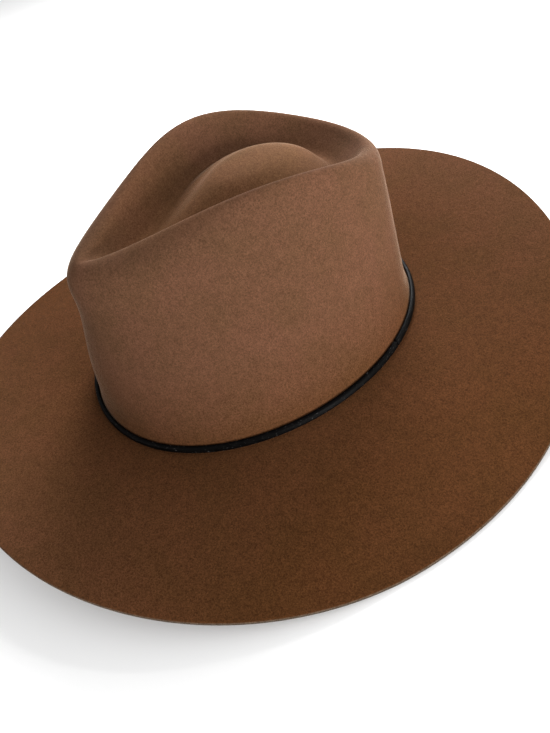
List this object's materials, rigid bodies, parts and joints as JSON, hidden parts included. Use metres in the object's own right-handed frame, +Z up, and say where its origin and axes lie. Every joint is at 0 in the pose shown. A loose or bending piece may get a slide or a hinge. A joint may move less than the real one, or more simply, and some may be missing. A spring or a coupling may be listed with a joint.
{
  "type": "wide-brim fedora",
  "caption": "Felt hat with a pinched teardrop crown, a wide gently curved brim and a thin leather strap round the crown.",
  "frame": {"origin": "on the surface that the brim rests on, under the middle of the hat's box", "axes": "+Z up towards the crown's top, +Y towards the back of the hat, the pinched front looks along -Y, +X is the wearer's left"},
  "size_m": [0.3738, 0.3876, 0.1275],
  "materials": {
    "felt": "matt brown fur felt with a fine short nap and a raw cut brim edge",
    "leather": "black leather with a fine pebbled grain, matt"
  },
  "bodies": {
    "root": {"felt_body": "felt", "leather_band": "leather"}
  },
  "joints": []
}
